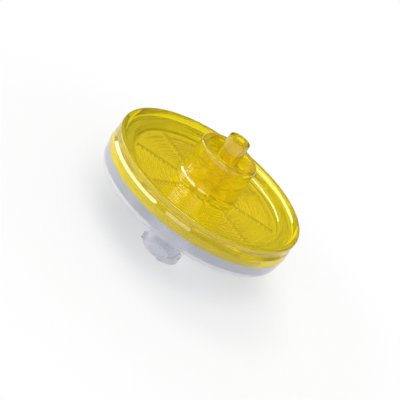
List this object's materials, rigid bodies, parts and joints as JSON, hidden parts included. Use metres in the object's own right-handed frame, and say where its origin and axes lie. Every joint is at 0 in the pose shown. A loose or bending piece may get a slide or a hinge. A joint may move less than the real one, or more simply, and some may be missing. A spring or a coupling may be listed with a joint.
{
  "type": "syringe filter",
  "caption": "Round syringe filter with a coloured outlet half, a clear inlet half, a clamped membrane and lock-type Luer connections.",
  "frame": {"origin": "centre of the inlet's round mouth, in the flat end face that the filter stands on", "axes": "+Z is the axis of symmetry and points from the inlet to the outlet nozzle; the outline is the same from every side, and the lock threads alone fix the turn about Z"},
  "size_m": [0.0362, 0.0362, 0.0254],
  "materials": {
    "outlet_housing": "clear yellow, glossy moulded",
    "inlet_housing": "clear, glossy moulded",
    "membrane": "matt white microporous sheet"
  },
  "bodies": {
    "root": {"outlet_housing": "outlet_housing", "inlet_housing": "inlet_housing", "membrane": "membrane"}
  },
  "joints": []
}
